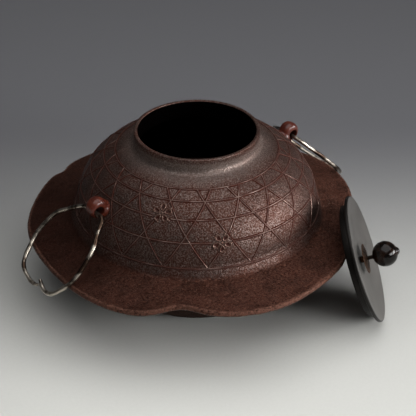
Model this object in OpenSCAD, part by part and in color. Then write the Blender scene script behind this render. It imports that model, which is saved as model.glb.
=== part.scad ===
// Wide-flange iron tea kettle with a wavy rim, two loose wire rings and a leaning bronze lid.
// Millimetres, Z up, table at zero height, kettle axis on Z, lugs on the X axis.

/* [Body] */
// height of the mouth rim above the table
overall_h = 176; // [172:1:186]
// largest radius of the domed shoulder
dome_r = 121.7; // [118:0.1:126]
// radius of the dome's profile arc
dome_curve = 69.7; // [66:0.1:73]
// height of the dome's widest line
dome_z = 92; // [90:0.5:95]
// thickness of the upper casting
wall = 4.5; // [3.5:0.1:6]

/* [Mouth] */
// inside radius of the mouth
mouth_r = 58.3; // [54:0.1:62]
// thickness of the mouth collar
mouth_wall = 3.7; // [3:0.1:5]
// radius of the hollow at the foot of the collar
neck_cove = 7; // [4:0.5:9]
// rounding of the mouth rim
lip_round = 1.2; // [0.5:0.1:1.5]

/* [Flange] */
// mean radius of the flange rim
flange_r = 171; // [160:0.5:185]
// height of the rim's upper edge
flange_z = 78; // [75:0.5:80]
// thickness of the flange at its rim
flange_t = 5.5; // [4:0.1:7]
// thickness of the flange at the dome
flange_root_t = 7; // [6:0.1:8]
// how far the crease between dome and flange lies outside the dome
crease_out = 5.1; // [3.3:0.1:8]
// height of the crease
crease_z = 84.2; // [83:0.1:87]
// depth of the torn notch in the front of the rim
notch_deep = 9; // [0:0.5:12]
// lift of the rim at that notch
notch_lift = 5; // [0:0.5:6]
// half width of the notch in degrees
notch_wide = 8; // [5:0.5:12]
// depth of the shallow hollow in the rim where the lid leans
lid_dip = 17; // [14:0.5:20]
// size of the slow waves around the rim
wave_size = 2.2; // [0:0.1:3]
// how far the rim swells on both sides of the notch
rim_swell = 3; // [0:0.1:5]
// depth of the dents in the far side of the rim
rim_dent = 4; // [0:0.1:6]
// radial depth of the rounding at the rim
rim_round = 2.4; // [2:0.1:3]
// steps around the flange
flange_steps = 120; // [96:12:168]

/* [Bottom] */
// radius of the flat base
base_r = 60; // [50:0.5:66]
// radius of the rounding at the base
base_round = 40; // [32:0.5:46]
// thickness of the bottom casting
bowl_wall = 4; // [3:0.1:5]
// height where the bowl's flank turns up into its rim
flank_z = 61.15; // [58:0.05:66]
// height of the ledge that rests on the bowl
ledge_z = 75.5; // [74:0.5:76]
// depth of the skirt below the ledge
skirt_h = 10; // [6:0.5:12]
// thickness of the skirt
skirt_wall = 4.2; // [3.5:0.1:6]
// width of the bowl's rim that carries the ledge
rim_seat = 1.2; // [0.6:0.1:1.4]
// thickness of the putty in the seam
seal_t = 1.2; // [0.8:0.1:1.6]
// height of the putty bead below the skirt
bead_h = 4; // [2:0.5:5]
// thickness of a sounding plate
sound_t = 2.2; // [1.5:0.1:3]
// middle radius of the sounding plates
sound_r = 31; // [26:0.5:40]
// width of a sounding plate
sound_w = 10; // [8:0.5:14]
// sweep of a sounding plate in degrees
sound_sweep = 54; // [40:1:80]

/* [Lugs] */
// outside radius of a lug
lug_r = 10.2; // [9.8:0.1:12]
// width of a lug along its hole
lug_w = 14; // [11:0.5:15]
// rounding of a lug's edges
lug_round = 5.4; // [3:0.1:5.4]
// radius of the hole in a lug
lug_hole_r = 5.4; // [4.8:0.1:5.6]
// distance of the hole from the dome
lug_reach = 11.17; // [10.6:0.01:13.5]
// height of the hole above the middle of the dome's curve
lug_up = 38; // [36:0.5:40]
// how far the lug's bead sits above its hole
lug_rise = 2.2; // [1:0.1:2.4]
// radius of the lug's foot where it meets the dome
lug_foot_r = 8.6; // [7:0.1:8.6]

/* [Rings] */
// diameter of the ring wire
wire_d = 3.8; // [3:0.1:4.2]
// half length of the straight stretch through the lug
pin_half = 9.6; // [9.5:0.1:11]
// bend on the hooked side where the wire leaves the lug
ring_bend = 6; // [5:0.5:8]
// slow curve down the hooked side
ring_side = 145; // [120:1:170]
// curve towards the hooked end
ring_turn = 40; // [36:0.5:44]
// curve of the hook
ring_hook = 19; // [14:0.5:22]
// bend on the plain side where the wire leaves the lug
ring_lead = 10; // [8:0.5:12]
// main curve of the plain side
ring_plain = 52; // [48:0.5:54]
// curve at the plain end
ring_end = 30; // [27:0.5:33]
// swelling of the hammered wire at its bends
knuckle = 0.25; // [0.2:0.05:0.35]
// length of each swelling
knuckle_w = 1.8; // [1.4:0.1:2]

/* [Lid] */
// how far the lid reaches past the mouth collar
lid_overhang = 2; // [1:0.1:4]
// thickness of the lid's edge
lid_edge_t = 3.4; // [2.5:0.1:4.5]
// thickness of the scooped plate
lid_plate_t = 2.4; // [1.8:0.1:3]
// width of the flat band around the scoop
lid_band = 3; // [2:0.1:5]
// depth of the scoop
lid_scoop = 6; // [3:0.1:6]
// depth of the collar below the lid's upper edge
collar_h = 10.5; // [10:0.1:14]
// thickness of the collar
collar_t = 3; // [2:0.1:4]

/* [Knob] */
// diameter of the knob
knob_d = 25.4; // [20:0.1:30]
// height of the knob's centre above the lid's upper edge
knob_z = 18.8; // [16:0.1:22]
// radius of the round bud on the knob
bud_r = 4.4; // [3:0.1:6]
// how far the bud stands out
bud_h = 2; // [0.8:0.1:2.6]
// diameter of the knob's pin
stem_d = 3.8; // [3:0.1:4.4]
// length of pin inside the knob
stem_in = 8; // [5:0.5:10]
// radius of the petalled seat
seat_r = 16.2; // [12:0.1:18]
// thickness of the seat at its middle
seat_t = 3.6; // [2.8:0.1:4]
// height of the seat's middle above the lid's upper edge
seat_z = -0.8; // [-1:0.1:0.5]
// radius of the seat's foot
seat_foot_r = 3.2; // [2.8:0.1:4.5]
// number of petals
petals = 8; // [6:1:12]
// radius of the washer under the lid
washer_r = 7; // [5:0.1:9]
// thickness of the washer
washer_t = 0.8; // [0.6:0.1:1]
// thickness of the rivet head
rivet_t = 1; // [0.8:0.1:1.2]
// radius of the rivet head
rivet_r = 3.4; // [3:0.1:4]

/* [Pose] */
// lean of the lid from the vertical in degrees
lid_lean = 20.7; // [15:0.1:30]
// direction the lid faces in degrees
lid_turn = -43.4; // [-50:0.1:-36]
// how far inside the rim the lid's collar leans on it
lean_in = 0.2; // [0:0.05:0.5]
// how far below the top of the rim the collar leans on it
lean_drop = 1.7; // [1:0.1:2.5]
// shift of the lid along the rim
lid_shift = -40.7; // [-44:0.1:-36]

/* [Fits] */
// gap between the lid's collar and the mouth
collar_gap = 1.8; // [1:0.1:2.5]
// gap between a resting piece and the rim it lies on
rest_gap = 0.35; // [0.3:0.05:0.6]
// gap between the ring wire and the bottom of its hole
wire_gap = 0.4; // [0.3:0.05:0.6]

/* [Hidden] */
$fn = 96;

iron = [0.24, 0.17, 0.14];
dark_iron = [0.13, 0.11, 0.10];
putty = [0.16, 0.12, 0.10];
lug_brown = [0.36, 0.17, 0.12];
wire_grey = [0.62, 0.57, 0.50];
bronze = [0.34, 0.31, 0.29];
knob_black = [0.07, 0.06, 0.06];

// dome arc and the hollow at the foot of the mouth collar
dome_cr = dome_r - dome_curve;
mouth_out = mouth_r + mouth_wall;
cove_r = mouth_out + neck_cove;
cove_z = dome_z + sqrt(pow(dome_curve + neck_cove, 2) - pow(cove_r - dome_cr, 2));
cavity_curve = dome_curve - wall;
cavity_r = dome_r - wall;
crease_r = dome_r + crease_out;
rim_r = cavity_r + rim_seat;

// place of the lug holes
lug_z = dome_z + lug_up;
lug_out = dome_cr + sqrt(pow(dome_curve, 2) - pow(lug_up, 2)) + lug_reach;

// seam between the two castings
skirt_r = rim_r + seal_t;
skirt_z = ledge_z - skirt_h;

// slope of the bowl's flank, which leaves the rounding without a kink and runs up to the rim
flank_reach = sqrt(pow(rim_r - base_r, 2) + pow(flank_z - base_round, 2));
slope = atan2(flank_z - base_round, rim_r - base_r) + asin(base_round / flank_reach);

// flange rim: radius and height by direction, directions in degrees
notch_at = -133;
lid_dip_at = -46;
function turned(a, b) = (a - b + 540) % 360 - 180;
function bump(a, at, wide) = exp(-pow(turned(a, at) / wide, 2));
function rim_radius(a) = flange_r
    + wave_size * (0.9 * cos(a - 200) + 0.7 * cos(3 * a + 40) + 0.4 * cos(7 * a))
    + rim_swell * (bump(a, -158, 18) + bump(a, -105, 16))
    - rim_dent * (bump(a, 111, 3.5) + bump(a, 85, 12))
    - notch_deep * bump(a, notch_at, notch_wide) - lid_dip * bump(a, lid_dip_at, 19);
function rim_height(a) = flange_z
    + 0.5 * wave_size * (cos(4 * a + 60) + 0.6 * cos(9 * a))
    + notch_lift * bump(a, notch_at, 1.25 * notch_wide);

// section of the flange at one direction, clockwise from the root of its upper side
root_r = crease_r - 5;
function top_z(s, a) = crease_z + (rim_height(a) - crease_z) * (1.3 * s - 0.3 * s * s);
function thick(s) = flange_root_t + (flange_t - flange_root_t) * s;
flat_s = [0.3, 0.65];
function flange_end(a) = rim_radius(a) - rim_round;
function upper_pt(s, a) = [crease_r + (flange_end(a) - crease_r) * s, top_z(s, a)];
function lower_pt(s, a) = [crease_r + (flange_end(a) - crease_r) * s, top_z(s, a) - thick(s)];
function edge_pt(t, a) =
    [flange_end(a) + rim_round * cos(t), top_z(1, a) - flange_t / 2 + flange_t / 2 * sin(t)];
function section(a) = concat(
    [[root_r, crease_z + 0.6]],
    [for (s = flat_s) upper_pt(s, a)],
    [for (t = [90, 40, 0, -40, -90]) edge_pt(t, a)],
    [for (k = [len(flat_s) - 1 : -1 : 0]) lower_pt(flat_s[k], a)],
    [[root_r, crease_z - flange_root_t]]);
section_n = 2 * len(flat_s) + 7;

// wire pivots in the lug holes and the slope at which each ring lies on the rim
wire_r = wire_d / 2;
pivot_drop = lug_hole_r - wire_r - wire_gap;
pivot_r = lug_out + pivot_drop * sin(20);
pivot_z = lug_z - pivot_drop * cos(20);
function rest_slope(a, off) = let(
        dr = rim_radius(a) * cos(off) - rim_round / 2 - pivot_r,
        dz = pivot_z - rim_height(a))
    atan2(dz, dr) - asin((wire_r + rest_gap) / sqrt(dr * dr + dz * dz));
crossings = [-18, -17, -16, -15, 8, 9, 10, 11, 12];
left_slope = min([for (off = crossings) rest_slope(180 + off, off)]);
right_slope = min([for (off = crossings) rest_slope(-off, off)]);
hooked_side = [[ring_bend, 63], [ring_side, 18.4], [ring_turn, 57.6], [ring_hook, 84]];
plain_side = [[ring_lead, 15.6], [ring_plain, 100], [ring_end, 79]];

// lid frame
lid_r = mouth_out + lid_overhang;
collar_r = mouth_r - collar_gap;
scoop_edge = lid_r - lid_band;
scoop_curve = (scoop_edge * scoop_edge + lid_scoop * lid_scoop) / (2 * lid_scoop);
scoop_z = scoop_curve - lid_scoop;
lid_z = lid_r * cos(lid_lean) + lid_edge_t * sin(lid_lean);

// the lid stands on the table and its collar leans on the rim at this direction
touch_turn = 4.4;
touch_at = lid_turn + touch_turn;
touch_r = (rim_radius(touch_at) - lean_in) * cos(touch_turn);
touch_z = rim_height(touch_at) - lean_drop;
lid_far = touch_r + (collar_h + rest_gap + sin(lid_lean) * (touch_z - lid_z)) / cos(lid_lean);
stem_r = stem_d / 2;
knob_r = knob_d / 2;
plate_low = -lid_scoop - lid_plate_t;
stem_low = plate_low - washer_t;
seat_low = seat_z - seat_t / 2;
seat_ball = (seat_r * seat_r + pow(seat_t / 2, 2)) / seat_t;

// profile of the upper casting filled to the axis
module dome_fill() {
    difference() {
        union() {
            intersection() {
                translate([dome_cr, dome_z]) circle(dome_curve);
                translate([dome_cr, ledge_z]) square([dome_curve + 1, dome_curve + 20]);
            }
            translate([0, ledge_z]) square([dome_cr + 0.5, dome_z + dome_curve - ledge_z - 0.4]);
            translate([0, dome_z]) square([mouth_out, overall_h - dome_z]);
            polygon([[mouth_out - 2, cove_z], [cove_r, cove_z],
                [dome_cr + (cove_r - dome_cr) * dome_curve / (dome_curve + neck_cove),
                    dome_z + (cove_z - dome_z) * dome_curve / (dome_curve + neck_cove)],
                [mouth_out - 2, dome_z + 30]]);
            polygon([[dome_r - 8, dome_z + 6], [dome_r - 0.7, dome_z + 6],
                [crease_r + 0.18 * (crease_r - dome_r + 0.7), crease_z - 0.18 * (dome_z + 6 - crease_z)],
                [dome_r - 8, crease_z - 0.18 * (dome_z + 6 - crease_z)]]);
        }
        translate([cove_r, cove_z]) circle(neck_cove);
        difference() {
            translate([mouth_out - lip_round, overall_h - lip_round]) square(lip_round + 1);
            translate([mouth_out - lip_round, overall_h - lip_round]) circle(lip_round);
        }
    }
}

// profile of the room inside the upper casting
module dome_room() {
    intersection() {
        translate([dome_cr, dome_z]) circle(cavity_curve);
        translate([dome_cr, dome_z]) square([cavity_curve + 1, cavity_curve + 1]);
    }
    translate([0, dome_z - 1]) square([dome_cr + 0.5, cavity_curve + 1]);
    translate([0, 0]) square([cavity_r, dome_z]);
    translate([0, dome_z]) square([mouth_r, overall_h]);
}

// wavy flange as one ring of triangles
module wavy_flange() {
    n = flange_steps;
    m = section_n;
    points = [for (i = [0 : n - 1])
        let(a = 360 * i / n)
        for (p = section(a)) [p[0] * cos(a), p[0] * sin(a), p[1]]];
    faces = [for (i = [0 : n - 1]) for (j = [0 : m - 1]) let(
            p = i * m + j,
            q = i * m + (j + 1) % m,
            r = ((i + 1) % n) * m + (j + 1) % m,
            s = ((i + 1) % n) * m + j)
        for (f = [[p, r, q], [p, s, r]]) f];
    polyhedron(points, faces, convexity = 8);
}

module upper_body() {
    color(iron)
    union() {
        wavy_flange();
        rotate_extrude() difference() {
            union() {
                dome_fill();
                translate([skirt_r, skirt_z]) square([skirt_wall, crease_z - 2 - skirt_z]);
            }
            dome_room();
        }
    }
}

// outline of the bowl from its foot up to its rim, moved inwards by inset
function bowl_line(inset) = concat(
    [for (k = [0 : 12]) let(t = slope * k / 12, c = base_round - inset)
        [base_r + c * sin(t), base_round - c * cos(t)]],
    [[rim_r - inset, flank_z + inset * (1 / cos(slope) - tan(slope))], [rim_r - inset, ledge_z]]);

module bottom_bowl() {
    inner = bowl_line(bowl_wall);
    color(dark_iron)
    rotate_extrude() polygon(concat([[0, 0]], bowl_line(0), [for (k = [len(inner) - 1 : -1 : 0]) inner[k]],
        [[0, bowl_wall]]));
}

module joint_seal() {
    color(putty)
    rotate_extrude() {
        polygon([[rim_r, skirt_z - bead_h], [rim_r, ledge_z], [skirt_r, ledge_z], [skirt_r, skirt_z],
            [skirt_r + 2.4, skirt_z]]);
    }
}

// one sounding plate on the floor of the bowl
module sounding_plate(turn) {
    color(dark_iron) rotate([0, 0, turn]) rotate_extrude(angle = sound_sweep)
        translate([sound_r - sound_w / 2, bowl_wall]) square([sound_w, sound_t]);
}

module sounding_plate_1() {
    sounding_plate(20);
}

module sounding_plate_2() {
    sounding_plate(140);
}

module sounding_plate_3() {
    sounding_plate(260);
}

// one lug on the +X side
module lug() {
    bead_x = lug_out - 0.6 * lug_rise;
    bead_z = lug_z + lug_rise;
    lift = atan2(bead_z - dome_z, bead_x - dome_cr);
    color(lug_brown)
    difference() {
        union() {
            translate([bead_x, 0, bead_z]) rotate([90, 0, 0]) rotate_extrude() {
                translate([0, -lug_w / 2]) square([lug_r - lug_round, lug_w]);
                translate([0, lug_round - lug_w / 2]) square([lug_r, lug_w - 2 * lug_round]);
                for (y = [lug_round - lug_w / 2, lug_w / 2 - lug_round])
                    intersection() {
                        translate([lug_r - lug_round, y]) circle(lug_round);
                        translate([0, y - lug_round]) square([lug_r, 2 * lug_round]);
                    }
            }
            translate([dome_cr, 0, dome_z]) rotate([0, 90 - lift, 0]) translate([0, 0, dome_curve - 3])
                cylinder(h = 11, r1 = lug_foot_r + 0.8, r2 = lug_foot_r - 2);
        }
        rotate_extrude() dome_fill();
        translate([lug_out, 0, lug_z]) rotate([90, 0, 0]) cylinder(h = 60, r = lug_hole_r, center = true);
    }
}

module left_lug() {
    rotate([0, 0, 180]) lug();
}

module right_lug() {
    lug();
}

// wire along a chain of arcs that all turn to the right, from p with heading h, a swelling over each join
module wire_chain(arcs, k, p, h) {
    if (k < len(arcs)) {
        translate([p[0], p[1], 0]) rotate([0, 0, h]) rotate([0, 90, 0])
            cylinder(h = knuckle_w, r = wire_r + knuckle, center = true);
        bend = arcs[k][0];
        turn = arcs[k][1];
        c = [p[0] + bend * sin(h), p[1] - bend * cos(h)];
        translate([c[0], c[1], 0]) rotate([0, 0, h + 90 - turn])
            rotate_extrude(angle = turn) translate([bend, 0]) circle(wire_r);
        g = h - turn;
        wire_chain(arcs, k + 1, [c[0] - bend * sin(g), c[1] + bend * cos(g)], g);
    }
}

// one ring with its hinge axis on Y and its loop towards +X
module ring() {
    color(wire_grey) {
        rotate([90, 0, 0]) cylinder(h = 2 * pin_half, r = wire_r, center = true);
        wire_chain(hooked_side, 0, [0, pin_half], 90);
        mirror([0, 1, 0]) wire_chain(plain_side, 0, [0, pin_half], 90);
    }
}

module left_ring() {
    rotate([0, 0, 180]) translate([pivot_r, 0, pivot_z]) rotate([0, left_slope, 0]) ring();
}

module right_ring() {
    translate([pivot_r, 0, pivot_z]) rotate([0, right_slope, 0]) mirror([0, 1, 0]) ring();
}

// from the lid's own frame to where it leans
module leaning() {
    rotate([0, 0, lid_turn]) translate([lid_far, lid_shift, lid_z])
        rotate([0, 90 - lid_lean, 0]) children();
}

// solid below the lid's upper side, in the lid's own frame
module plate_underside() {
    translate([0, -lid_edge_t]) square([lid_r, lid_edge_t]);
    intersection() {
        translate([0, scoop_z]) circle(scoop_curve + lid_plate_t, $fn = 900);
        translate([0, plate_low - 1]) square([lid_r, 1 - plate_low - lid_edge_t + 0.5]);
    }
    translate([0, plate_low]) square([washer_r + 0.5, 1]);
}

module lid_plate() {
    color(bronze) leaning()
    rotate_extrude() difference() {
        plate_underside();
        translate([0, scoop_z]) circle(scoop_curve, $fn = 900);
        translate([0, plate_low - 5]) square([stem_r, lid_scoop + 20]);
    }
}

module lid_collar() {
    color(bronze) leaning()
    rotate_extrude() difference() {
        translate([collar_r - collar_t, -collar_h]) square([collar_t, collar_h - lid_edge_t + 0.5]);
        plate_underside();
    }
}

module knob_seat() {
    color(bronze) leaning()
    difference() {
        rotate_extrude() difference() {
            union() {
                intersection() {
                    translate([0, seat_z - seat_ball + seat_t / 2]) circle(seat_ball, $fn = 300);
                    translate([0, seat_z + seat_ball - seat_t / 2]) circle(seat_ball, $fn = 300);
                    translate([0, seat_z - seat_t]) square([seat_r - 1.2, 2 * seat_t]);
                }
                intersection() {
                    translate([0, -lid_scoop - 1]) square([seat_foot_r, seat_low + lid_scoop + 1.6]);
                    translate([0, scoop_z]) circle(scoop_curve, $fn = 900);
                }
            }
            translate([0, -lid_scoop - 2]) square([stem_r, lid_scoop + 10]);
        }
        for (k = [0 : petals - 1])
            rotate([0, 0, 360 * (k + 0.5) / petals]) translate([seat_r + 0.2, 0, seat_z])
                cylinder(h = 3 * seat_t, r = 2.2, center = true);
    }
}

// half of a ball's section, on the outer side of the axis
module half_ball(z, r) {
    intersection() {
        translate([0, z]) circle(r);
        translate([0, z - r]) square([r, 2 * r]);
    }
}

module knob() {
    color(knob_black) leaning()
    rotate_extrude() difference() {
        union() {
            half_ball(knob_z, knob_r);
            half_ball(knob_z + knob_r + bud_h - bud_r, bud_r);
        }
        translate([0, 0]) square([stem_r, knob_z - knob_r + stem_in]);
    }
}

module knob_stem() {
    color(bronze) leaning() {
        translate([0, 0, stem_low - 0.2])
            cylinder(h = knob_z - knob_r + stem_in - stem_low + 0.2, r = stem_r);
        translate([0, 0, stem_low - rivet_t]) cylinder(h = rivet_t, r1 = rivet_r - 0.8, r2 = rivet_r);
    }
}

module stem_washer() {
    color(bronze) leaning()
    rotate_extrude() translate([stem_r, stem_low]) square([washer_r - stem_r, washer_t]);
}

upper_body();
bottom_bowl();
joint_seal();
left_lug();
right_lug();
left_ring();
right_ring();
lid_plate();
lid_collar();
knob_seat();
knob();
knob_stem();
stem_washer();
sounding_plate_1();
sounding_plate_2();
sounding_plate_3();
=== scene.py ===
import math

import bmesh
import bpy
from mathutils import Matrix, Vector


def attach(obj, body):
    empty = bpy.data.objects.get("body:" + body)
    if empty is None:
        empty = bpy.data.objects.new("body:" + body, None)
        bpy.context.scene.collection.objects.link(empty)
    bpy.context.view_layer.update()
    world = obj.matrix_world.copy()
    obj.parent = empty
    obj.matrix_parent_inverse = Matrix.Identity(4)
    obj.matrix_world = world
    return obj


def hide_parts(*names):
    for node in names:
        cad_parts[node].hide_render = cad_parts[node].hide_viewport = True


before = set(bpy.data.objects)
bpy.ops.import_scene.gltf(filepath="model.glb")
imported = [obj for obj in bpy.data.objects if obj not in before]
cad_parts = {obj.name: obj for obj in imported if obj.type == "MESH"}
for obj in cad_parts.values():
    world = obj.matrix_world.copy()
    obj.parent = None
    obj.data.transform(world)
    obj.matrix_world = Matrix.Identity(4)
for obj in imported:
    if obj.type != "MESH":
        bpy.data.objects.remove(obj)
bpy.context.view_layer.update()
scene = bpy.context.scene


# Upper casting: dome, mouth collar and flange are one thin sand-cast iron shell, open below.
# Its grainy skin has rusted to a dark brown, redder on the flange; along the ridges of the net it is dark
# red, partly rust and partly painted shade.
# The rim was left wavy, with a torn notch at the front.
DOME_MIDDLE = (52.0, 92.0)
DOME_CURVE = 69.7
ROOM_CURVE = 65.2
CREASE = (126.8, 84.2)
FLANGE_RADIUS = 171.0
FLANGE_HEIGHT = 78.0
FLANGE_EDGE = 5.5
FLANGE_ROOT = 7.0
FLANGE_BOW = 0.3
RIM_ROUND = 2.4
RIM_STEPS = 12
AROUND = 432
MOUTH_BORE = 58.3
SKIRT_ROOM = 117.2
DOME_FOOT = 4.2
RING_LINES = (1.6, 22.3, 40.0, 54.9, 65.6)
NET_PITCH = 20.0
NET_START = -123.0
NET_SLANT = 0.383
BLOSSOMS = ((-146.1, 43.7, 20.0), (-116.2, 21.8, 52.0))


class Num:
    """A socket in a node tree. Operators on it add Math nodes."""

    def __init__(self, tree, socket):
        self.tree = tree
        self.socket = socket

    def math(self, operation, *others):
        node = self.tree.nodes.new("ShaderNodeMath")
        node.operation = operation
        for slot, value in zip(node.inputs, (self,) + others):
            if isinstance(value, Num):
                self.tree.links.new(value.socket, slot)
            else:
                slot.default_value = value
        return Num(self.tree, node.outputs[0])

    def __add__(self, other):
        return self.math("ADD", other)

    def __sub__(self, other):
        return self.math("SUBTRACT", other)

    def __rsub__(self, other):
        return self.math("MULTIPLY_ADD", -1.0, other)

    def __mul__(self, other):
        return self.math("MULTIPLY", other)

    def __truediv__(self, other):
        return self.math("DIVIDE", other)

    def __mod__(self, other):
        return self.math("FLOORED_MODULO", other)

    def __pow__(self, other):
        return self.math("POWER", other)

    def __abs__(self):
        return self.math("ABSOLUTE")

    __radd__ = __add__
    __rmul__ = __mul__

    def low(self, other):
        return self.math("MINIMUM", other)

    def high(self, other):
        return self.math("MAXIMUM", other)


class Graph:
    """A node tree with one method that adds any node but Math."""

    def __init__(self, tree):
        self.tree = tree

    def node(self, kind, inputs=(), out=0, **settings):
        node = self.tree.nodes.new(kind)
        for key, value in settings.items():
            setattr(node, key, value)
        for label, value in dict(inputs).items():
            if isinstance(value, Num):
                self.tree.links.new(value.socket, node.inputs[label])
            else:
                node.inputs[label].default_value = value
        return Num(self.tree, node.outputs[out])

    def split(self, vector):
        return [self.node("ShaderNodeSeparateXYZ", {"Vector": vector}, out=k) for k in range(3)]

    def fade(self, value, start, end):
        return self.node("ShaderNodeMapRange", {"Value": value, "From Min": start, "From Max": end},
                         interpolation_type="SMOOTHSTEP")


class Paint(Graph):
    """One material on the Principled shader."""

    def __init__(self, name, **fixed):
        self.material = bpy.data.materials.new(name)
        self.material.use_nodes = True
        super().__init__(self.material.node_tree)
        self.shader = self.tree.nodes["Principled BSDF"]
        for label, value in fixed.items():
            self.shader.inputs[label.replace("_", " ")].default_value = value
        self.place = self.node("ShaderNodeTexCoord", out="Object")

    def noise(self, size, detail=3.0, rough=0.55):
        inputs = {"Vector": self.place, "Scale": 1000.0 / size, "Detail": detail, "Roughness": rough}
        return self.node("ShaderNodeTexNoise", inputs)

    def cells(self, size):
        return self.node("ShaderNodeTexVoronoi", {"Vector": self.place, "Scale": 1000.0 / size})

    def read(self, label):
        return self.node("ShaderNodeAttribute", out="Fac", attribute_name=label)

    def mix(self, share, first, second):
        return self.node("ShaderNodeMix", {0: share, 6: first, 7: second}, out=2, data_type="RGBA")

    def finish(self, colour, roughness, height, depth, metal=None):
        bump = self.node("ShaderNodeBump", {"Height": height, "Strength": 1.0, "Distance": depth * 0.001},
                         out="Normal")
        links = {"Base Color": colour, "Roughness": roughness, "Normal": bump}
        if metal:
            links["Metallic"] = metal
        for label, value in links.items():
            self.tree.links.new(value.socket, self.shader.inputs[label])
        return self.material


def tone(red, green, blue):
    """A colour as it looks on a screen, 0 to 255, as the shader wants it."""
    linear = []
    for part in (red, green, blue):
        share = part / 255
        linear.append(share / 12.92 if part < 11 else ((share + 0.055) / 1.055) ** 2.4)
    return (*linear, 1.0)


def dome_point(turn, rise, lift=0.0):
    """A point on the dome at a direction and at an angle up its curve, lifted off the skin."""
    reach = DOME_MIDDLE[0] + (DOME_CURVE + lift) * math.cos(math.radians(rise))
    height = DOME_MIDDLE[1] + (DOME_CURVE + lift) * math.sin(math.radians(rise))
    return Vector((reach * math.cos(math.radians(turn)), reach * math.sin(math.radians(turn)), height))


LINE_WOBBLE = 0.5
ACROSS_SLANT = 0.86
NO_LINE = 20.0


def from_line(paint, turn, rise, radius):
    """How far a point of the dome lies from the nearest line of the net, or far off where none runs."""
    wobble = (paint.noise(7.0, 2.0) - 0.5) * LINE_WOBBLE
    ring = abs(rise - RING_LINES[0])
    for line in RING_LINES[1:]:
        ring = ring.low(abs(rise - line))
    ring = ring * math.radians(DOME_CURVE) + wobble
    shift = (rise - RING_LINES[0]) * NET_SLANT
    half = NET_PITCH / 2
    slants = [abs((turn - NET_START + shift * way + half) % NET_PITCH - half) for way in (1.0, -1.0)]
    slant = slants[0].low(slants[1]) * radius * math.radians(ACROSS_SLANT) + wobble
    on_net = paint.fade(rise, 1.0, 2.0) * paint.fade(rise, 66.2, 65.4)
    gap = ring.low(slant + (1.0 - on_net) * NO_LINE)
    for turn_at, rise_at, _ in BLOSSOMS:
        middle = dome_point(turn_at, rise_at) * 0.001
        apart = paint.node("ShaderNodeVectorMath", {0: paint.place, 1: middle}, out="Value",
                           operation="DISTANCE")
        gap = gap + paint.fade(apart * 1000.0, 10.0, 7.5) * NO_LINE
    return gap


# Where the skin passes from the inner to the outer face: through the wall, at the skirt and in the mouth.
WALL_MIDDLE = (67.0, 68.0)
SKIRT_WALL = (118.0, 119.0)
BORE_WALL = (59.6, 59.0)
BORE_TOP = (175.6, 174.8)


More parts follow.
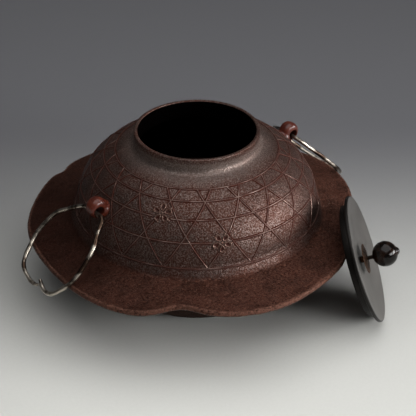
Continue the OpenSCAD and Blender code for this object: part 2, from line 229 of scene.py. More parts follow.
def iron_skin():
    paint = Paint("iron_skin", Specular_IOR_Level=0.08, Specular_Tint=tone(120, 96, 88))
    x, y, z = [part * 1000.0 for part in paint.split(paint.place)]
    radius = (x * x + y * y) ** 0.5
    turn = y.math("ARCTAN2", x) * math.degrees(1)
    out = radius - DOME_MIDDLE[0]
    up = z - DOME_MIDDLE[1]
    rise = up.math("ARCTAN2", out) * math.degrees(1)
    shell = (out * out + up * up) ** 0.5
    outside = paint.fade(shell, *WALL_MIDDLE).high(paint.fade(radius, *SKIRT_WALL))
    outside = outside * (1.0 - paint.fade(radius, *BORE_WALL) * paint.fade(z, *BORE_TOP))
    # The inside is painted near black and given no shine, for soot and for the shade inside the hollow.
    inside = 1.0 - outside
    gap = from_line(paint, turn, rise, radius)
    gap = gap + (1.0 - outside * paint.fade(radius, 124.5, 123.5)) * NO_LINE
    # Rust and painted shade: the skin is coloured dark red along the feet of the net's ridges, for the rust
    # there and for the shade beside each ridge.
    foot = paint.fade(gap, 1.8, 0.9) * (1.0 - 0.4 * paint.fade(rise, 5.0, 3.5))

    grain = paint.noise(1.4, 3.0, 0.7)
    pits = paint.cells(1.8)
    patches = paint.noise(26.0, 4.0, 0.6)
    broad = paint.noise(70.0, 2.0)
    specks = paint.noise(2.3, 3.0, 0.65)
    rust = paint.fade(patches + grain * 0.25, 0.54, 0.74)
    peaks = paint.fade(grain, 0.45, 0.66)
    on_flange = paint.fade(radius, 123.5, 128.0)
    # The flange's rim edge is lightened, partly as rubbed wear and partly as a painted highlight on its
    # rounded edge.
    rim = paint.fade(paint.read("reach"), 0.97, 1.0)
    # Painted shade: the flange is coloured darker on its left side, standing in for the shade it lies in
    # away from the lamps; its pale grain and specks are fewer there too.
    from_left = (turn + 190.0) % 360.0
    painted_shade_side = paint.fade(from_left, 60.0, 0.0).high(paint.fade(from_left, 260.0, 330.0))
    # A pale band round the foot of the collar: painted highlight where light catches there, and rubbing.
    collar_foot_highlight_and_wear = paint.fade(z, 156.0, 162.0) * paint.fade(z, 173.0, 169.0) * 0.36
    red_brown = paint.mix(painted_shade_side, tone(59, 33, 25), tone(32, 13, 8))
    bright = paint.mix(on_flange, tone(162, 153, 148), tone(118, 94, 84))
    colour = paint.mix(rust * 0.7, tone(70, 50, 44), tone(68, 38, 29))
    # From below: flange, darker on its left side by painted shade, its dark scale, hollows and peaks of the
    # grain, dark and light specks, rim lightened by wear and painted highlight, foot of the collar paled by
    # painted highlight and rubbing, rust and painted shade along the ridges, soot and painted shade inside.
    for share, layer in (
        (on_flange * (0.75 + 0.25 * broad), red_brown),
        (on_flange * paint.fade(patches, 0.52, 0.4) * 0.5, tone(28, 11, 6)),
        (paint.fade(grain, 0.5, 0.3) * 0.5, tone(26, 12, 8)),
        (peaks * 0.28 * (1.0 - 0.15 * on_flange - 0.45 * on_flange * painted_shade_side), bright),
        (on_flange * paint.fade(specks, 0.47, 0.36) * 0.6, tone(22, 9, 6)),
        (on_flange * paint.fade(specks, 0.54, 0.7) * (0.26 - 0.2 * painted_shade_side), tone(122, 82, 67)),
        (rim * paint.fade(specks, 0.3, 0.6) * 0.45, tone(112, 80, 68)),
        (collar_foot_highlight_and_wear * (0.6 + 0.4 * peaks), tone(150, 140, 134)),
        (foot * 0.9, tone(50, 17, 10)),
        (inside, tone(4, 3, 3)),
    ):
        colour = paint.mix(share, colour, layer)
    roughness = 0.32 - 0.1 * peaks + 0.1 * patches + 0.3 * foot - 0.04 * on_flange + 0.5 * inside
    height = (grain * 1.4 + pits * 0.6) * (1.0 - 0.25 * on_flange)
    height = height + specks * 2.0 * on_flange + patches * 0.8
    burnished = (0.58 + 0.22 * peaks) * (1.0 - 0.3 * rust) * (1.0 - 0.8 * on_flange)
    burnished = burnished * (1.0 - foot) * outside + inside
    return paint.finish(colour, roughness, height, 0.35, burnished)


class Growth(Graph):
    """A Geometry Nodes tree with named inputs, run on a piece and then turned into its plain mesh."""

    def __init__(self, name):
        super().__init__(bpy.data.node_groups.new(name, "GeometryNodeTree"))
        for way in ("INPUT", "OUTPUT"):
            self.tree.interface.new_socket("Geometry", in_out=way, socket_type="NodeSocketGeometry")
        self.entry = self.tree.nodes.new("NodeGroupInput")
        self.base = Num(self.tree, self.entry.outputs["Geometry"])
        self.asked = {}

    def ask(self, label, value, kind="NodeSocketFloat"):
        socket = self.tree.interface.new_socket(label, in_out="INPUT", socket_type=kind)
        self.asked[label] = (socket.identifier, value)
        return Num(self.tree, self.entry.outputs[label])

    def finish(self, geometry, material):
        whole = self.node("GeometryNodeRealizeInstances", {"Geometry": geometry})
        dressed = self.node("GeometryNodeSetMaterial", {"Geometry": whole, "Material": material})
        leave = self.tree.nodes.new("NodeGroupOutput")
        self.tree.links.new(dressed.socket, leave.inputs["Geometry"])

    def grow(self, name, mesh, **values):
        piece = bpy.data.objects.new(name, mesh)
        scene.collection.objects.link(piece)
        modifier = piece.modifiers.new(self.tree.name, "NODES")
        modifier.node_group = self.tree
        for label, (identifier, value) in self.asked.items():
            modifier[identifier] = values.get(label.replace(" ", "_"), value)
        made = bpy.data.meshes.new_from_object(piece.evaluated_get(bpy.context.evaluated_depsgraph_get()))
        piece.modifiers.clear()
        piece.data = made
        made.shade_smooth()
        return piece


def lathe(name, rows, steps, place=Matrix.Identity(4), closed=True, merge=True):
    """A mesh turned about Z from (radius, height) rows, in metres at its place."""
    circle = [(math.cos(2 * math.pi * k / steps), math.sin(2 * math.pi * k / steps)) for k in range(steps)]
    points = [place @ Vector((r * c, r * s, z)) * 0.001 for r, z in rows for c, s in circle]
    count = len(rows)
    faces = []
    for j in range(count if closed else count - 1):
        for k in range(steps):
            a, b = j * steps, (j + 1) % count * steps
            faces.append((a + k, a + (k + 1) % steps, b + (k + 1) % steps, b + k))
    mesh = bpy.data.meshes.new(name)
    mesh.from_pydata(points, [], faces)
    work = bmesh.new()
    work.from_mesh(mesh)
    if merge:
        bmesh.ops.remove_doubles(work, verts=work.verts, dist=1e-6)
    bmesh.ops.recalc_face_normals(work, faces=work.faces)
    work.to_mesh(mesh)
    work.free()
    mesh.shade_smooth()
    return mesh


def arc(middle, radius, start, end, steps):
    """Rows along an arc, angles counted from outwards to upwards."""
    turns = [math.radians(start + (end - start) * k / steps) for k in range(steps + 1)]
    return [(middle[0] + radius * math.cos(t), middle[1] + radius * math.sin(t)) for t in turns]


def flange_fall(share):
    """How much of its fall the flange has made at a share of its reach, for a number or a socket."""
    return (1.0 + FLANGE_BOW) * share - FLANGE_BOW * share * share


def shell_rows():
    """Section of the upper casting with a plain round flange, and each row's share of the flange's reach."""
    rows = [(SKIRT_ROOM, 75.8), (SKIRT_ROOM, 80.0), (SKIRT_ROOM, 86.0)]
    rows += arc(DOME_MIDDLE, ROOM_CURVE, 0, 84.2, 16)
    rows += [(MOUTH_BORE, height) for height in (157.5, 162.0, 168.0, 174.9)]
    rows += [(58.4, 175.6), (58.9, 175.95), (59.8, 176.0)]
    rows += arc((60.8, 174.8), 1.2, 90, 0, 5) + [(62.0, 171.5)] + arc((69.0, 166.83), 7.0, 180, 257.2, 10)
    rows += arc(DOME_MIDDLE, DOME_CURVE, 76.0, DOME_FOOT, 44)
    rows += [(122.05, 95.6), (123.0, 93.2), (124.2, 90.4), (125.2, 88.0), (126.0, 86.2), (126.7, 85.0)]
    shares = [0.0] * len(rows)
    rim = FLANGE_RADIUS - RIM_ROUND
    half = FLANGE_EDGE / 2
    reach = [0.03, 0.08, 0.15, 0.24, 0.34, 0.45, 0.56, 0.67, 0.77, 0.86, 0.93, 0.98, 1.0]
    top = [(CREASE[0] + (rim - CREASE[0]) * s, CREASE[1] + (FLANGE_HEIGHT - CREASE[1]) * flange_fall(s))
           for s in reach]
    thick = [FLANGE_ROOT + (FLANGE_EDGE - FLANGE_ROOT) * s for s in reach]
    rows += top
    for k in range(1, RIM_STEPS):
        t = math.radians(90 - 180 * k / RIM_STEPS)
        rows.append((rim + RIM_ROUND * math.cos(t), FLANGE_HEIGHT - half + half * math.sin(t)))
    rows += [(r, z - under) for (r, z), under in zip(top[::-1], thick[::-1])]
    shares += reach + [1.0] * (RIM_STEPS - 1) + reach[::-1]
    skirt = [(125.2, 77.0), (123.9, 75.8), (123.8, 71.0), (123.8, 66.1), (123.3, 65.5)]
    skirt += [(120.1, 65.5), (119.6, 66.0), (119.6, 75.2), (119.2, 75.5), (117.5, 75.5)]
    return rows + skirt, shares + [0.0] * len(skirt)


def mark(mesh, label, values):
    """Writes one number for each point, which node trees read by its label."""
    mesh.attributes.new(label, "FLOAT", "POINT").data.foreach_set("value", values)


rows, shares = shell_rows()
mesh = lathe("kettle_shell", rows, AROUND, merge=False)
mark(mesh, "reach", [share for share in shares for _ in range(AROUND)])

SWELLS = ((-158, 18), (-105, 16))
DENTS = ((111, 3.5), (85, 12))
NOTCH = (-133, 8)
NOTCH_RISE = (-133, 10)
LID_HOLLOW = (-46, 19)
wave = Growth("wavy_flange")
wave_size = wave.ask("Wave size", 2.2)
swell = wave.ask("Rim swell", 3.0)
dent = wave.ask("Rim dent", 4.0)
notch = wave.ask("Notch depth", 9.0)
lift = wave.ask("Notch lift", 5.0)
hollow = wave.ask("Lid hollow", 17.0)
spot = wave.node("GeometryNodeInputPosition")
x, y, _ = wave.split(spot)
turn = y.math("ARCTAN2", x) * math.degrees(1)
reach = wave.node("GeometryNodeInputNamedAttribute", {"Name": "reach"}, data_type="FLOAT")


def swing(times, start):
    """A wave that goes round the rim so many times."""
    return ((turn * times + start) * math.radians(1)).math("COSINE")


def hump(place, wide):
    """One smooth hump of the rim at a direction."""
    away = (turn - place + 540.0) % 360.0 - 180.0
    return (away * away * (-1.0 / wide ** 2)).math("EXPONENT")


outward = (
    wave_size * (0.9 * swing(1, -200) + 0.7 * swing(3, 40) + 0.4 * swing(7, 0))
    + swell * (hump(*SWELLS[0]) + hump(*SWELLS[1]))
    - dent * (hump(*DENTS[0]) + hump(*DENTS[1]))
    - notch * hump(*NOTCH)
    - hollow * hump(*LID_HOLLOW)
) * reach
rough = wave.ask("Rim roughness", 0.9)
ragged = wave.node("ShaderNodeTexNoise", {"Vector": spot, "Scale": 170.0, "Detail": 2.0})
outward = outward + (ragged - 0.5) * rough * reach ** 12.0
upward = wave_size * 0.5 * (swing(4, 60) + 0.6 * swing(9, 0)) + lift * hump(*NOTCH_RISE)
upward = upward * flange_fall(reach)
along = turn * math.radians(1)
offset = wave.node("ShaderNodeCombineXYZ", {"X": outward * along.math("COSINE") * 0.001,
                                            "Y": outward * along.math("SINE") * 0.001, "Z": upward * 0.001})
wave.finish(wave.node("GeometryNodeSetPosition", {"Geometry": wave.base, "Offset": offset}), iron_skin())
shell = wave.grow("kettle_shell", mesh)
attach(shell, "kettle")
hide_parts("upper_body")


# Net: its lines were drawn with a stylus into the damp mould, so they stand up from the dome as thin ridges
# of the same iron. Five rings and two sets of slanting lines cross there, with gaps round the blossoms.
# Their crowns are rubbed pale; the skin along their feet is dark red from rust and from painted shade.
RIDGE_RADIUS = 0.75
RIDGE_SUNK = 0.2
RIDGE_STEP = 1.2
FOOT_FLARE = 1.0
BLOSSOM_ROOM = 9.5
SLANT_STEPS = 40


def net_lines():
    """The middle lines of the ridges as loose edges, left out where a blossom stands."""
    lines = [([(turn, rise) for turn in range(360)], True) for rise in RING_LINES]
    tall = RING_LINES[-1] - RING_LINES[0]
    for way in (1, -1):
        for k in range(round(360 / NET_PITCH)):
            start = NET_START + k * NET_PITCH
            ups = [tall * step / SLANT_STEPS for step in range(SLANT_STEPS + 1)]
            lines.append(([(start - way * up * NET_SLANT, RING_LINES[0] + up) for up in ups], False))
    flowers = [dome_point(turn, rise) for turn, rise, _ in BLOSSOMS]
    points, edges = [], []
    for line, closed in lines:
        first = len(points)
        broken = True
        for turn, rise in line:
            flare = FOOT_FLARE * max(0.0, DOME_FOOT - rise) / (DOME_FOOT - RING_LINES[0])
            spot = dome_point(turn, rise, flare - RIDGE_SUNK)
            if min((spot - flower).length for flower in flowers) < BLOSSOM_ROOM:
                broken = True
                continue
            points.append(spot * 0.001)
            if not broken:
                edges.append((len(points) - 2, len(points) - 1))
            broken = False
        if closed:
            edges.append((len(points) - 1, first))
    made = bpy.data.meshes.new("net_lines")
    made.from_pydata(points, edges, [])
    return made


def ridge_iron():
    paint = Paint("ridge_iron", Specular_IOR_Level=0.1, Specular_Tint=tone(120, 96, 88))
    x, y, z = [part * 1000.0 for part in paint.split(paint.place)]
    out = (x * x + y * y) ** 0.5 - DOME_MIDDLE[0]
    up = z - DOME_MIDDLE[1]
    proud = (out * out + up * up) ** 0.5 - DOME_CURVE
    worn = paint.fade(paint.noise(14.0, 3.0), 0.42, 0.68)
    grain = paint.noise(1.4, 3.0, 0.7)
    crown = paint.fade(proud, 0.2, 0.45) * (1.0 - 0.4 * paint.fade(proud, 0.7, 0.9))
    crown = crown * (0.25 + 0.75 * worn)
    colour = paint.mix(paint.fade(grain, 0.35, 0.65), tone(44, 15, 9), tone(62, 26, 18))
    colour = paint.mix(crown * 0.7, colour, tone(138, 121, 113))
    return paint.finish(colour, 0.34 - 0.06 * crown, grain, 0.12, 0.9 * crown)


net = Growth("net_ridges")
ridge_radius = net.ask("Ridge radius", RIDGE_RADIUS)
unsteady = net.ask("Hand wobble", 0.3)
line = net.node("GeometryNodeMeshToCurve", {"Mesh": net.base})
line = net.node("GeometryNodeResampleCurve", {"Curve": line, "Length": RIDGE_STEP * 0.001}, mode="LENGTH")
spot = net.node("GeometryNodeInputPosition")
drift = net.node("ShaderNodeTexNoise", {"Vector": spot, "Scale": 90.0, "Detail": 1.0}, out="Color")
drift = net.node("ShaderNodeVectorMath", {0: drift, 1: (0.5, 0.5, 0.5)}, operation="SUBTRACT")
drift = net.node("ShaderNodeVectorMath", {0: drift, "Scale": unsteady * 0.002}, operation="SCALE")
line = net.node("GeometryNodeSetPosition", {"Geometry": line, "Offset": drift})
section = net.node("GeometryNodeCurvePrimitiveCircle", {"Resolution": 8, "Radius": ridge_radius * 0.001})
tube = net.node("GeometryNodeCurveToMesh", {"Curve": line, "Profile Curve": section, "Fill Caps": True})
net.finish(tube, ridge_iron())
ridges = net.grow("net_ridges", net_lines())
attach(ridges, "kettle")


# Blossoms: two of them, five-petalled, stand in low relief on the front of the dome, cast with it.
# Each petal is a small cupped shell with a thin raised lip, round a button of stamens.
PETAL = (4.2, 3.4)
PETAL_AT = 5.8
PETAL_FLOOR = 0.1
PETAL_SINK = 0.5
LIP_HEIGHT = 0.85
LIP_AT = 0.8
LIP_WIDTH = 0.19
STAMEN = (0.8, 5.4)
BUTTON_RADIUS = 1.4


def petal_mesh():
    """One cupped petal, long along X, with how deep in its cup each point lies."""
    around, rings = 28, (0.2, 0.4, 0.55, 0.66, 0.76, 0.84, 0.92, 1.0)
    points, depth = [Vector((0.0, 0.0, PETAL_FLOOR)) * 0.001], [1.0]
    faces = [(0, k + 1, (k + 1) % around + 1) for k in range(around)]
    for u in rings:
        lip = PETAL_FLOOR + LIP_HEIGHT * math.exp(-((u - LIP_AT) / LIP_WIDTH) ** 2)
        if u == 1.0:
            lip -= PETAL_SINK
        for k in range(around):
            t = 2 * math.pi * k / around
            from_tip = t if t < math.pi else t - 2 * math.pi
            notch_in = 1 - 0.16 * math.exp(-(abs(from_tip) / 0.3) ** 2)
            wide = PETAL[1] * (0.82 + 0.18 * math.cos(t))
            spot = (u * PETAL[0] * math.cos(t) * notch_in, u * wide * math.sin(t), lip)
            points.append(Vector(spot) * 0.001)
            depth.append(max(0.0, min(1.0, (0.75 - u) / 0.3)))
    for j in range(len(rings) - 1):
        for k in range(around):
            a, b, n = 1 + j * around, 1 + (j + 1) * around, (k + 1) % around
            faces.append((a + k, b + k, b + n, a + n))
    made = bpy.data.meshes.new("petal")
    made.from_pydata(points, [], faces)
    mark(made, "cup", depth)
    return made


def stamen_mesh():
    """One tapered ridge that lies along X, from the button out between two petals."""
    around, along = 10, 9
    points, faces = [], []
    for j in range(along):
        share = j / (along - 1)
        reach = STAMEN[0] + (STAMEN[1] - STAMEN[0]) * share
        thick = 0.95 * math.sin(math.pi * (0.08 + 0.84 * share)) ** 0.7
        for k in range(around):
            t = 2 * math.pi * k / around
            points.append(Vector((reach, 0.75 * thick * math.cos(t), thick * math.sin(t))) * 0.001)
    for j in range(along - 1):
        for k in range(around):
            a, b, n = j * around, (j + 1) * around, (k + 1) % around
            faces.append((a + k, a + n, b + n, b + k))
    faces += [tuple(range(around))[::-1], tuple(range((along - 1) * around, along * around))]
    made = bpy.data.meshes.new("stamen")
    made.from_pydata(points, [], faces)
    return made


def blossom_skin():
    paint = Paint("blossom_iron", Specular_IOR_Level=0.14)
    cup = paint.read("cup")
    grain = paint.noise(1.7, 3.0, 0.7)
    peaks = paint.fade(grain, 0.35, 0.65)
    colour = paint.mix(peaks, tone(76, 46, 37), tone(112, 92, 83))
    colour = paint.mix(cup * 0.95, colour, tone(46, 16, 10))
    burnished = (0.25 + 0.55 * peaks) * (1.0 - cup)
    return paint.finish(colour, 0.36 - 0.1 * peaks, grain * 2.0 + paint.cells(2.2), 0.12, burnished)


petal = bpy.data.objects.new("petal", petal_mesh())
stamen = bpy.data.objects.new("stamen", stamen_mesh())
for pattern in (petal, stamen):
    scene.collection.objects.link(pattern)
bloom = Growth("blossoms_on_dome")
petals = bloom.ask("Petals", 5, "NodeSocketInt")
distance = bloom.ask("Petal distance", PETAL_AT)
first = bloom.ask("First petal", 0.0)
turn_at = bloom.ask("Direction on dome", 0.0)
rise_up = bloom.ask("Rise on dome", 0.0)
place = (bloom.node("GeometryNodeInputIndex") * 1.0) * (2 * math.pi) / petals + first * math.radians(1)
spots = bloom.node("GeometryNodeMeshCircle", {"Vertices": petals, "Radius": 0.001})
on_ring = bloom.node("ShaderNodeCombineXYZ", {"X": place.math("COSINE") * distance * 0.001,
                                              "Y": place.math("SINE") * distance * 0.001})
spots = bloom.node("GeometryNodeSetPosition", {"Geometry": spots, "Position": on_ring})
crown = bloom.node("GeometryNodeInstanceOnPoints", {
    "Points": spots,
    "Instance": bloom.node("GeometryNodeObjectInfo", {"Object": petal}, out="Geometry"),
    "Rotation": bloom.node("ShaderNodeCombineXYZ", {"Z": place})})
between = bloom.node("GeometryNodeInstanceOnPoints", {
    "Points": bloom.node("GeometryNodeSetPosition", {"Geometry": spots, "Position": (0.0, 0.0, 0.0)}),
    "Instance": bloom.node("GeometryNodeObjectInfo", {"Object": stamen}, out="Geometry"),
    "Rotation": bloom.node("ShaderNodeCombineXYZ", {"Z": place + math.pi / 5})})
button = bloom.node("GeometryNodeMeshUVSphere",
                    {"Segments": 20, "Rings": 12, "Radius": BUTTON_RADIUS * 0.001})
button = bloom.node("GeometryNodeTransform", {"Geometry": button, "Scale": (1.0, 1.0, 0.6)})
join = bloom.tree.nodes.new("GeometryNodeJoinGeometry")
for part in (crown, between, button):
    bloom.tree.links.new(part.socket, join.inputs[0])
flat = bloom.node("GeometryNodeRealizeInstances", {"Geometry": Num(bloom.tree, join.outputs[0])})
x, y, z = [part * 1000.0 for part in bloom.split(bloom.node("GeometryNodeInputPosition"))]
rise = rise_up * math.radians(1) + y / DOME_CURVE
level = DOME_MIDDLE[0] + DOME_CURVE * rise.math("COSINE")
turn = turn_at * math.radians(1) + x / level
reach = DOME_MIDDLE[0] + (z + DOME_CURVE) * rise.math("COSINE")
height = DOME_MIDDLE[1] + (z + DOME_CURVE) * rise.math("SINE")
on_dome = bloom.node("ShaderNodeCombineXYZ", {"X": reach * turn.math("COSINE") * 0.001,
                                              "Y": reach * turn.math("SINE") * 0.001, "Z": height * 0.001})
bent = bloom.node("GeometryNodeSetPosition", {"Geometry": flat, "Position": on_dome})
bloom.finish(bent, blossom_skin())
for k, (turn_to, rise_to, start) in enumerate(BLOSSOMS):
    empty = bpy.data.meshes.new("blossom")
    blossom = bloom.grow("blossom_%d" % (k + 1), empty, Direction_on_dome=turn_to, Rise_on_dome=rise_to,
                         First_petal=start)
    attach(blossom, "kettle")
for pattern in (petal, stamen):
    bpy.data.objects.remove(pattern)


# Bottom casting: a thin iron bowl let into the upper one from below, with three sounding plates on its
# floor. Its outside is sooty from the hearth; a ring of dark lacquer putty seals the seam under the flange.
BASE_RADIUS = 60.0
BASE_ROUND = 40.0
BOWL_WALL = 4.0
BOWL_RIM = (118.4, 75.5)
BOWL_TURN = 61.15


def bowl_rows(inset):
    rows = arc((BASE_RADIUS, BASE_ROUND), BASE_ROUND - inset, -90, -30, 22)
    turn_up = BOWL_TURN + inset * (2 - math.sqrt(3))
    return rows + [(BOWL_RIM[0] - inset - 0.5, turn_up - 0.7), (BOWL_RIM[0] - inset, turn_up + 0.6)]


def sooty_iron():
    paint = Paint("sooty_iron", Specular_IOR_Level=0.1)
    grain = paint.noise(1.4, 4.0, 0.65)
    soot = paint.noise(22.0, 4.0, 0.6)
    colour = paint.mix(paint.fade(soot, 0.4, 0.65), tone(52, 34, 27), tone(34, 23, 18))
    colour = paint.mix(paint.fade(grain, 0.58, 0.75) * 0.5, colour, tone(78, 46, 33))
    return paint.finish(colour, 0.62 + 0.25 * soot, grain * 0.6 + soot * 0.9 + paint.cells(2.2) * 0.3, 0.6)


outer = [(0.0, 0.0), (30.0, 0.0), (52.0, 0.0)] + bowl_rows(0.0)
inner = [(0.0, BOWL_WALL), (30.0, BOWL_WALL), (52.0, BOWL_WALL)] + bowl_rows(BOWL_WALL)
rim_out, rim_top = BOWL_RIM
rim_in = rim_out - BOWL_WALL
lip = [(rim_out, 70.0), (rim_out, 75.1), (118.0, rim_top), (114.8, rim_top), (rim_in, 75.1), (rim_in, 70.0)]
soot = sooty_iron()
bowl = bpy.data.objects.new("fire_bowl", lathe("fire_bowl", outer + lip + inner[::-1], 240, closed=False))
scene.collection.objects.link(bowl)
bowl.data.materials.append(soot)
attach(bowl, "kettle")
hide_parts("bottom_bowl")


def lacquer_putty():
    paint = Paint("lacquer_putty", Coat_Weight=0.15, Coat_Roughness=0.4)
    lumps = paint.noise(6.0, 3.0)
    colour = paint.mix(paint.fade(lumps, 0.35, 0.65), tone(30, 23, 20), tone(52, 38, 31))
    return paint.finish(colour, 0.5 + 0.2 * lumps, lumps, 0.5)


def dress(node, material):
    """Gives a carried-over solid its finish."""
    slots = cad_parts[node].data.materials
    slots.clear()
    slots.append(material)


dress("joint_seal", lacquer_putty())
for k in (1, 2, 3):
    dress("sounding_plate_%d" % k, soot)


# Lugs: a fat cast bead on each side of the dome, bored through for the ring. Handling has worn them to a
# glossy red brown, so their edges are soft all over.
LUG_VOXEL = 0.6
LUG_WEAR = 8


def lug_brown():
    paint = Paint("lug_brown", Specular_IOR_Level=0.2, Coat_Weight=0.4, Coat_Roughness=0.18)
    grain = paint.noise(1.3, 3.0, 0.6)
    wear = paint.noise(9.0, 3.0)
    colour = paint.mix(paint.fade(wear, 0.38, 0.66), tone(66, 22, 12), tone(84, 34, 20))
    colour = paint.mix(paint.fade(grain, 0.42, 0.28) * 0.5, colour, tone(26, 10, 6))
    return paint.finish(colour, 0.4 + 0.2 * wear, grain * 0.5 + wear * 0.8, 0.35)


bead = lug_brown()
for side in ("left", "right"):
    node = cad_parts[side + "_lug"]
    work = bmesh.new()
    work.from_mesh(node.data)
    bmesh.ops.remove_doubles(work, verts=work.verts, dist=1e-6)
    rough_lug = bpy.data.meshes.new("lug")
    work.to_mesh(rough_lug)
    work.free()
    lug = bpy.data.objects.new(side + "_bead", rough_lug)
    scene.collection.objects.link(lug)
    block = lug.modifiers.new("even", "REMESH")
    block.mode = "VOXEL"
    block.voxel_size = LUG_VOXEL * 0.001
    block.use_smooth_shade = True
    ease = lug.modifiers.new("worn", "SMOOTH")
    ease.iterations = LUG_WEAR
    soft_lug = bpy.data.meshes.new_from_object(lug.evaluated_get(bpy.context.evaluated_depsgraph_get()))
    lug.modifiers.clear()
    lug.data = soft_lug
    soft_lug.shade_smooth()
    soft_lug.materials.clear()
    soft_lug.materials.append(bead)
    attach(lug, "kettle")
    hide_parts(side + "_lug")


# Rings: one length of hammered white-metal wire each, threaded loosely through its lug and bent round by
# hand to an open loop, one end curled into a hook. They lie on the rim and swing up to lift the kettle.
WIRE_RADIUS = 2.1
WIRE_STEP = 0.8
WIRE_SIDES = 18
WIRE_SEEDS = {"left": 3.0, "right": 8.0}
KINK = 1.1
PIN_HALF = 9.6
PIVOT = (122.66026, 127.08695)
HOOKED_SIDE = ((6.0, 63.0), (145.0, 18.4), (40.0, 57.6), (19.0, 84.0))
PLAIN_SIDE = ((10.0, 15.6), (52.0, 100.0), (30.0, 85.0))
RING_SLOPES = {"left": 43.99, "right": 44.595}


def wire_run(bends):
    """Points along bends that all turn to the right, from the end of the straight stretch in the lug."""
    x, y, heading = 0.0, PIN_HALF, 90.0
    points = []
    for bend, turn in bends:
        mx = x + bend * math.sin(math.radians(heading))
        my = y - bend * math.cos(math.radians(heading))
        steps = max(3, int(bend * math.radians(turn) / 1.2))
        for k in range(1, steps + 1):
            h = math.radians(heading - turn * k / steps)
            points.append((mx - bend * math.sin(h), my + bend * math.cos(h)))
        x, y = points[-1]
        heading -= turn
    return points


def wire_path(place):
    """The wire's middle line as loose edges, with how far each point is thinned towards its ends."""
    pin = [(0.0, PIN_HALF * (1 - k / 8)) for k in range(17)]
    hooked, plain = wire_run(HOOKED_SIDE), wire_run(PLAIN_SIDE)
    even = hooked[::-1] + pin + [(px, -py) for px, py in plain]
    flat = []
    for k, (px, py) in enumerate(even):
        ahead, behind = even[min(k + 1, len(even) - 1)], even[max(k - 1, 0)]
        along = Vector((ahead[0] - behind[0], ahead[1] - behind[1])).normalized()
        free = max(0, len(hooked) - 1 - k, k - len(hooked) - len(pin))
        kink = KINK * min(1.0, free / 12) * (0.6 * math.sin(k / 7.0 + 1.3) + 0.4 * math.sin(k / 4.1))
        flat.append((px - kink * along.y, py + kink * along.x))
    path = bpy.data.meshes.new("wire")
    path.from_pydata([place @ Vector((px, py, 0.0)) * 0.001 for px, py in flat],
                     [(k, k + 1) for k in range(len(flat) - 1)], [])
    far = len(flat) - 1
    thin = [max(0.0, 1 - min(k, far - k) / 14) ** 2 for k in range(len(flat))]
    mark(path, "thin", thin)
    return path


def hammered_wire():
    paint = Paint("hammered_wire", Metallic=1.0)
    dull = paint.noise(15.0, 4.0, 0.5)
    scratches = paint.noise(1.0, 3.0, 0.7)
    colour = paint.mix(paint.fade(dull, 0.42, 0.58), tone(58, 45, 37), tone(186, 177, 164))
    colour = paint.mix(paint.fade(scratches, 0.44, 0.3) * 0.5, colour, tone(40, 29, 23))
    return paint.finish(colour, 0.2 + 0.3 * dull, dull * 1.5 + scratches * 0.2, 0.5)


wire = Growth("hammered_ring")
thickness = wire.ask("Wire radius", WIRE_RADIUS)
dents = wire.ask("Hammer depth", 0.5)
seed = wire.ask("Seed", WIRE_SEEDS["left"])
line = wire.node("GeometryNodeMeshToCurve", {"Mesh": wire.base})
line = wire.node("GeometryNodeResampleCurve", {"Curve": line, "Length": WIRE_STEP * 0.001}, mode="LENGTH")
section = wire.node("GeometryNodeCurvePrimitiveCircle",
                    {"Resolution": WIRE_SIDES, "Radius": thickness * 0.001})
tube = wire.node("GeometryNodeCurveToMesh", {"Curve": line, "Profile Curve": section, "Fill Caps": True})
thin = wire.node("GeometryNodeInputNamedAttribute", {"Name": "thin"}, data_type="FLOAT")
spot = wire.node("GeometryNodeInputPosition")
beaten = wire.node("ShaderNodeTexNoise", {"Vector": spot, "W": seed, "Scale": 95.0, "Detail": 1.0},
                   noise_dimensions="4D")
change = (beaten - 0.5) * dents * 2.4 - thin * 0.7
push = wire.node("ShaderNodeVectorMath", {0: wire.node("GeometryNodeInputNormal"), "Scale": change * 0.001},
                 operation="SCALE")
wire.finish(wire.node("GeometryNodeSetPosition", {"Geometry": tube, "Offset": push}), hammered_wire())
for side, about in (("left", 180.0), ("right", 0.0)):
    hang = Matrix.Rotation(math.radians(about), 4, "Z") @ Matrix.Translation((PIVOT[0], 0.0, PIVOT[1]))
    hang = hang @ Matrix.Rotation(math.radians(RING_SLOPES[side]), 4, "Y")
    if side == "right":
        hang = hang @ Matrix.Scale(-1.0, 4, (0.0, 1.0, 0.0))
    ring = wire.grow(side + "_loop", wire_path(hang), Seed=WIRE_SEEDS[side])
    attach(ring, side + "_ring")
    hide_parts(side + "_ring")


# Lid: a thin cast plate of dark bronze with a shallow scooped face and a narrow flat edge; a collar brazed
# below it drops into the mouth. It stands on its edge and leans on the flange, face outwards.
LID_RADIUS = 64.0
LID_EDGE = 3.4
SCOOP = 6.0
SCOOP_EDGE = 61.0
PLATE = 2.4
COLLAR_IN = 53.5
COLLAR_OUT = 56.5
COLLAR_DEEP = 10.5
BOSS_DEEP = 8.4
LID_TURN = -43.4
LID_STAND = (172.4, -40.7, 61.07)
LID_LEAN = 20.7
STEM_RADIUS = 1.9
SCOOP_CURVE = (SCOOP_EDGE ** 2 + SCOOP ** 2) / (2 * SCOOP)
SCOOP_MIDDLE = SCOOP_CURVE - SCOOP
LID_PLACE = (Matrix.Rotation(math.radians(LID_TURN), 4, "Z") @ Matrix.Translation(LID_STAND)
             @ Matrix.Rotation(math.radians(90 - LID_LEAN), 4, "Y"))


def scoop_height(radius, below=0.0):
    return SCOOP_MIDDLE - math.sqrt((SCOOP_CURVE + below) ** 2 - radius ** 2)


def mark_axis(made):
    """Writes each point's distance from the lid's axis, in metres."""
    back = LID_PLACE.inverted()
    mark(made, "from_axis", [0.001 * (back @ (v.co * 1000.0)).xy.length for v in made.vertices])


def lid_mesh(name, rows, steps, closed=True):
    """A turned piece of the lid at its place."""
    made = lathe(name, rows, steps, LID_PLACE, closed)
    mark_axis(made)
    return made


